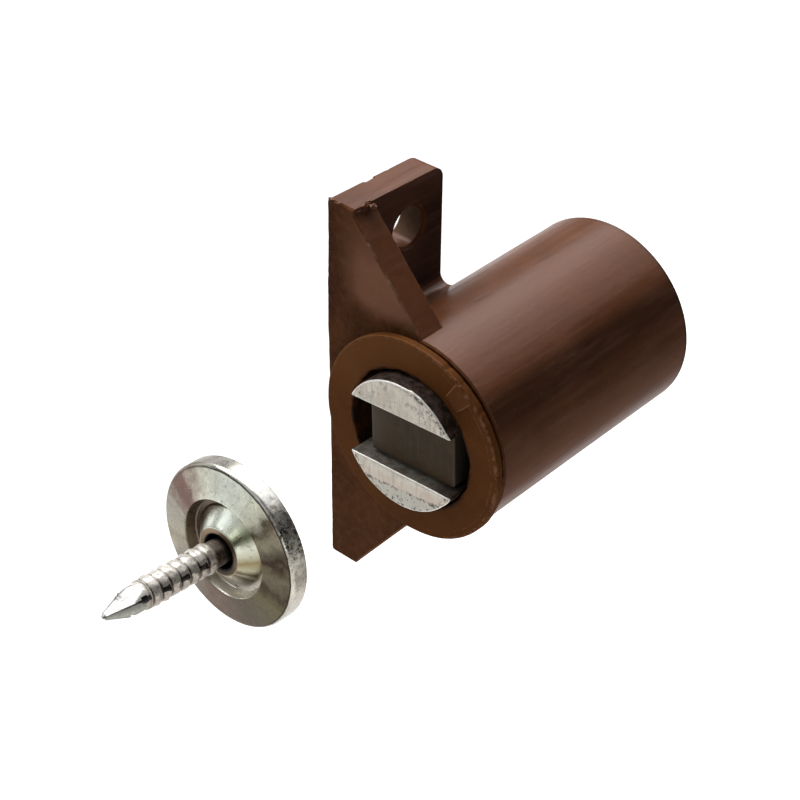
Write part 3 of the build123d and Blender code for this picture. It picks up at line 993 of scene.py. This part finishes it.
def build_pole(name, side, arc_radius, material, replaced):
    outline = pole_outline(side, arc_radius)
    front = POLE_FRONT
    layers = [
        (0.15, front),
        (0.09, front - 0.02),
        (0.04, front - 0.05),
        (0.01, front - 0.10),
        (0.0, front - 0.16),
        (-0.01, front - 0.5),
        (0.0, front - 1.2),
        (0.0, front - 4),
        (0.0, PACK_BACK + 0.02),
    ]
    spine = (Vector((-2.6, side * 3.6)), Vector((2.6, side * 3.6)))
    verts, faces = prism(outline, layers, spine)
    shaped = []
    for x, y, z in verts:
        if z > front - 0.3:
            z += 0.012 * wobble((x, y, 0), 0.8, 3 + side) + 0.006 * wobble((x, y, 0), 3.5, 8 + side)
        shaped.append((x, y, z))
    add_piece(name, shaped, faces, material, "catch", [replaced], 50, pack_frame)


def build_magnet(material):
    low, high = node_box("magnet")
    half_width = 8.05 / 2
    top, bottom = CHORD, -CHORD + 0.28
    offset = 0.57
    left, right = offset - half_width, offset + half_width
    outline = divided(
        rounded([(left, top, 0.1), (left, bottom, 0.15), (right, bottom, 0.42), (right, top, 0.15)], 6),
        0.12,
    )
    front = MAGNET_FRONT
    layers = [
        (0.16, front),
        (0.07, front - 0.015),
        (0.02, front - 0.06),
        (0.0, front - 0.16),
        (0.0, front - 1.5),
        (0.0, FRONT - high.y + 0.02),
    ]
    spine = (Vector((left + 2.4, 0)), Vector((right - 2.4, 0)))
    verts, faces = prism(outline, layers, spine, 10)
    shaped = []
    for x, y, z in verts:
        if z > front - 0.1:
            z += 0.014 * wobble((x * 1.6, y * 0.5, 0), 1.2, 6)
        shaped.append((x, y, z))
    add_piece("magnet_block", shaped, faces, material, "catch", ["magnet"], 50, pack_frame)


# ---- strike
strike_frame = turned(strike_centre, (0, -math.cos(STRIKE_LEAN), math.sin(STRIKE_LEAN)))
STRIKE_R = (strike_high.x - strike_low.x) / 2
RIM = 1.42
RISE = 0.46
GROOVE_R = 3.69
GROOVE_DEPTH = 0.85
BOSS_R = 1.84
BOSS_RISE = 0.35
HOLE_R = 1.3
CROWN = RIM + RISE + BOSS_RISE
HEAD_R = 2.0               # of the nail
FACE_R = 5.72              # the face is upright inside this radius, where the poles meet it


def strike_shape(radius, height, angle):
    """Pressed steel: slight waves round the annulus and a few knocks on the rim."""
    ring = (math.cos(angle) * radius, math.sin(angle) * radius, height)
    if radius > STRIKE_R - 0.9:
        knock = max(0, wobble(ring, 2.2, 2) - 0.25) + 0.5 * max(0, wobble(ring, 4.5, 5) - 0.2)
        zone = bell(turn_gap(angle, 38), 0, 40) if height < RIM else 0.15
        radius -= 0.05 * knock * zone
    if height > RIM - 0.05 and GROOVE_R < radius < STRIKE_R - 0.3:
        height += 0.012 * wobble(ring, 0.5, 4)
    return radius, height


def build_strike(material):
    back = RIM + RISE
    floor = back - GROOVE_DEPTH
    outline = rounded([
        (2.95, 0, 0.05),
        (FACE_R, 0, 0),
        (FACE_R + 0.08, 0, 0),
        (STRIKE_R, 0, 0.12),
        (STRIKE_R, RIM, 0.3),
        (GROOVE_R, back, 0.12),
        (GROOVE_R - 0.22, floor, 0.16),
        (GROOVE_R - 0.62, floor, 0.16),
        (BOSS_R, CROWN, 0.16),
        (HOLE_R, CROWN, 0.1),
        (HOLE_R, 1.2, 0),
        (HEAD_R + 0.05, 0.3, 0),
    ], 6)
    verts, faces = lathe(divided(outline, 0.16), 480, strike_shape)
    face_y = strike_high.y - 0.01
    placed = []
    for vert in verts:
        place = strike_frame @ Vector(vert)
        if Vector(vert[:2]).length < FACE_R + 0.02:
            place.y = min(place.y, face_y)
        placed.append(place)
    add_piece(
        "strike_pressing", placed, faces, material, "strike", ["strike_plate"], 60
    )


# ---- nail
nail_direction = (0, -math.cos(NAIL_LEAN), math.sin(NAIL_LEAN))
nail_frame = turned(nail_centre, nail_direction)
SHANK_R = 0.95
RING_START = 2.9
RING_PITCH = 0.84
RING_COUNT = 8
SHANK_END = 9.23
POINT = 3.1
TIP_R = 0.17
POINT_TURN = math.radians(-14)


def ring_height(along):
    """How far the rings stand out of the shank: a bead that is fullest towards the head."""
    turn = (along - RING_START) / RING_PITCH
    if turn < 0 or turn > RING_COUNT - 0.45:
        return 0
    part = turn % 1
    return 0.15 * math.sin(math.pi * part ** 0.72) ** 0.7


def nail_radius(along, angle):
    place = (math.cos(angle), math.sin(angle), along)
    if along < 0.12:
        radius = HEAD_R
    elif along < 1.1:
        radius = HEAD_R + (SHANK_R - HEAD_R) * ((along - 0.12) / 0.98) ** 0.85
    else:
        radius = SHANK_R + 0.012 * wobble(place, 1.2, 3)
        bead = ring_height(along + 0.05 * wobble(place, 0.9, 5))
        radius += bead * (1 + 0.25 * wobble(place, 1.1, 7) + 0.35 * wobble(place, 3.4, 9))
        if along < RING_START:
            radius -= 0.05 * abs(math.sin(4 * angle)) * bell(along, 2.0, 0.8)
    if along > SHANK_END - 0.3:
        radius = min(radius, SHANK_R + 0.02)
    if along > SHANK_END - 0.2:
        fall = max(0, (along - SHANK_END) / POINT)
        flat = (SHANK_R - TIP_R) * (1 - fall) + TIP_R * 0.9
        face = (angle - POINT_TURN + math.pi / 4) % (math.pi / 2) - math.pi / 4
        radius = min(radius, flat / math.cos(face))
        burr = 0.09 * bell(fall, 0.44, 0.025) + 0.06 * bell(fall, 0.52, 0.03)
        radius += burr * bell(turn_gap(angle, 121), 0, 15)
        radius -= 0.13 * bell(fall, 0.3, 0.035) * bell(turn_gap(angle, 301), 0, 18)
    short = along - (SHANK_END + POINT - TIP_R)
    if short > 0:
        radius = min(radius, math.sqrt(max(0.0004, TIP_R ** 2 - short ** 2)))
    return radius


def build_nail(material):
    stops = [0, 0.04, 0.12]
    along = 0.12
    while along < SHANK_END + POINT - 0.02:
        along += 0.045 if along < SHANK_END + POINT - 0.3 else 0.015
        stops.append(along)
    verts = []
    faces = []
    segments = 128
    for along in stops:
        for step in range(segments):
            angle = 2 * math.pi * step / segments
            radius = nail_radius(along, angle)
            if along == 0:
                radius -= 0.05
            verts.append((radius * math.cos(angle), radius * math.sin(angle), along))
    for row in range(len(stops) - 1):
        for step in range(segments):
            follow = (step + 1) % segments
            a, b = row * segments, (row + 1) * segments
            faces.append((a + step, a + follow, b + follow, b + step))
    end = (len(stops) - 1) * segments
    tip = len(verts)
    verts.append((0, 0, SHANK_END + POINT))
    faces.extend((end + step, end + (step + 1) % segments, tip) for step in range(segments))
    faces.append(tuple(range(segments))[::-1])
    add_piece(
        "ring_shank_nail", verts, faces, material, "strike", ["strike_nail"], 38, nail_frame
    )


build_housing(housing_plastic("brown_moulding"))
build_carrier(insert_plastic("brown_insert"))
build_pole("pole_plate_upper", 1, upper_arc, pole_steel("upper_pole_steel", False), "pole_upper")
build_pole("pole_plate_lower", -1, lower_arc, pole_steel("lower_pole_steel", True), "pole_lower")
build_magnet(ferrite("magnet_ferrite"))
build_strike(zinc_plating("zinc_plate"))
build_nail(nail_steel("bright_nail"))

# ---- camera
CAMERA_FROM = Vector((87.87, -97.71, 88.69)) * MM
CAMERA_FORWARD = Vector((-0.54887, 0.60927, -0.57230))
CAMERA_UP = Vector((-0.38668, 0.42193, 0.82003))
camera_data = bpy.data.cameras.new("camera")
camera_data.lens = 92.16
camera_data.sensor_width = 36
camera_data.shift_x = 0.0244
camera_data.shift_y = -0.0209
camera_data.clip_start = 0.005
camera_data.clip_end = 20
camera = bpy.data.objects.new("camera", camera_data)
right = CAMERA_FORWARD.cross(CAMERA_UP).normalized()
up = right.cross(CAMERA_FORWARD).normalized()
turn = Matrix((right, up, -CAMERA_FORWARD.normalized())).transposed()
camera.matrix_world = Matrix.Translation(CAMERA_FROM) @ turn.to_4x4()
bpy.context.scene.collection.objects.link(camera)
bpy.context.scene.camera = camera

# ---- stage and light
FLOOR = -70
FLOOR_REACH = 3000
FLOOR_GLOW = 0.45          # lifts the floor to white where it is seen, and lights nothing


def dull_material(name, grey):
    """A matt grey that can also give off white light."""
    material, shader = new_material(name)
    shader.inputs["Base Color"].default_value = (grey, grey, grey, 1)
    shader.inputs["Roughness"].default_value = 1.0
    shader.inputs["Specular IOR Level"].default_value = 0.0
    shader.inputs["Emission Color"].default_value = (1, 1, 1, 1)
    return material, shader


def level_corners(left, right, near, far, height):
    return (left, near, height), (right, near, height), (right, far, height), (left, far, height)


def sheet(name, corners, material):
    mesh = bpy.data.meshes.new(name)
    mesh.from_pydata([Vector(corner) * MM for corner in corners], [], [(0, 1, 2, 3)])
    mesh.materials.append(material)
    piece = bpy.data.objects.new(name, mesh)
    bpy.context.scene.collection.objects.link(piece)
    return piece


def panel(name, target, direction, distance, size, radiance, glossy=True):
    """A soft box seen from target in that direction, with the brightness that its face shows."""
    data = bpy.data.lights.new(name, "AREA")
    data.shape = "RECTANGLE"
    data.size = size[0] * MM
    data.size_y = size[1] * MM
    data.energy = radiance * math.pi * data.size * data.size_y
    light = bpy.data.objects.new(name, data)
    away = Vector(direction).normalized()
    light.location = (Vector(target) + away * distance) * MM
    light.rotation_mode = "QUATERNION"
    light.rotation_quaternion = away.to_track_quat("Z", "Y")
    light.visible_camera = False
    light.visible_glossy = glossy
    bpy.context.scene.collection.objects.link(light)


def card(name, corners, level):
    """A dark or grey card beside the set, seen in the reflections but not by the camera."""
    material, shader = dull_material(name, 0)
    shader.inputs["Emission Strength"].default_value = level
    piece = sheet(name, corners, material)
    piece.visible_camera = False
    piece.visible_shadow = False


def background_rays():
    """1 for camera, glossy and transmission rays, which see the set as it looks."""
    kinds = ("Is Camera Ray", "Is Glossy Ray", "Is Transmission Ray")
    return most(*[add_node("LightPath", kind) for kind in kinds])


def build_floor():
    material, shader = dull_material("floor_white", 0.75)
    feed(shader.inputs["Emission Strength"], background_rays() * FLOOR_GLOW)
    reach = FLOOR_REACH
    sheet("floor", level_corners(-reach, reach, -reach, reach, FLOOR), material)


WORLD_LIGHT = 0.04


def build_world():
    world = bpy.data.worlds.new("studio")
    world.use_nodes = True
    tree = world.node_tree
    background = tree.nodes["Background"]
    background.inputs["Color"].default_value = (1, 1, 1, 1)
    path = tree.nodes.new("ShaderNodeLightPath")
    low = tree.nodes.new("ShaderNodeMapRange")
    low.inputs["To Min"].default_value = WORLD_LIGHT
    low.inputs["To Max"].default_value = 1.0
    tree.links.new(path.outputs["Is Camera Ray"], low.inputs["Value"])
    tree.links.new(low.outputs["Result"], background.inputs["Strength"])
    bpy.context.scene.world = world


BARREL = (BARREL_X, 5, 0)
STRIKE = (8.6, -25, 0.5)
PANELS = (
    ("key_left", BARREL, (-0.52, 0.0, 0.85), 320, (200, 200), 6.8),
    ("soft_left", BARREL, (-0.42, 0.61, 0.67), 320, (110, 150), 2.7),
    ("soft_mid", BARREL, (-0.10, 0.61, 0.79), 320, (120, 150), 1.9),
    ("soft_right", BARREL, (0.24, 0.61, 0.76), 320, (110, 150), 1.35),
    ("wall_left", BARREL, (-0.79, 0.61, 0.05), 300, (180, 200), 0.2),
    ("high_front", BARREL, (-0.55, -0.55, 0.58), 320, (120, 120), 2.1),
    ("overhead", STRIKE, (-0.17, 0.34, 0.92), 300, (160, 200), 1.25),
    ("high_left", STRIKE, (-0.78, 0.36, 0.50), 300, (100, 100), 0.9),
    ("left", STRIKE, (-0.95, -0.22, 0.13), 300, (120, 120), 1.2),
    ("front", STRIKE, (0.13, -0.74, 0.60), 300, (90, 90), 1.66),
    ("front_left", STRIKE, (-0.28, -0.765, 0.55), 300, (90, 90), 1.0),
    ("front_right", STRIKE, (0.61, -0.73, 0.10), 300, (80, 80), 2.1),
)
for entry in PANELS:
    panel(*entry)
panel("under_right", BARREL, (0.55, -0.1, -0.83), 55, (70, 70), 0.9, glossy=False)
CARDS = (
    ("card_right", ((120, 62, FLOOR), (120, 260, FLOOR), (120, 260, 100), (120, 62, 100)), 0.05),
    ("card_right_floor", level_corners(17, 119, 25, 260, FLOOR + 1), 0.17),
    ("card_under", level_corners(-60, 17, 25, 260, FLOOR + 1), 0.8),
)
for entry in CARDS:
    card(*entry)
build_floor()
build_world()
bpy.context.scene.view_settings.view_transform = "Standard"

bpy.context.view_layer.update()
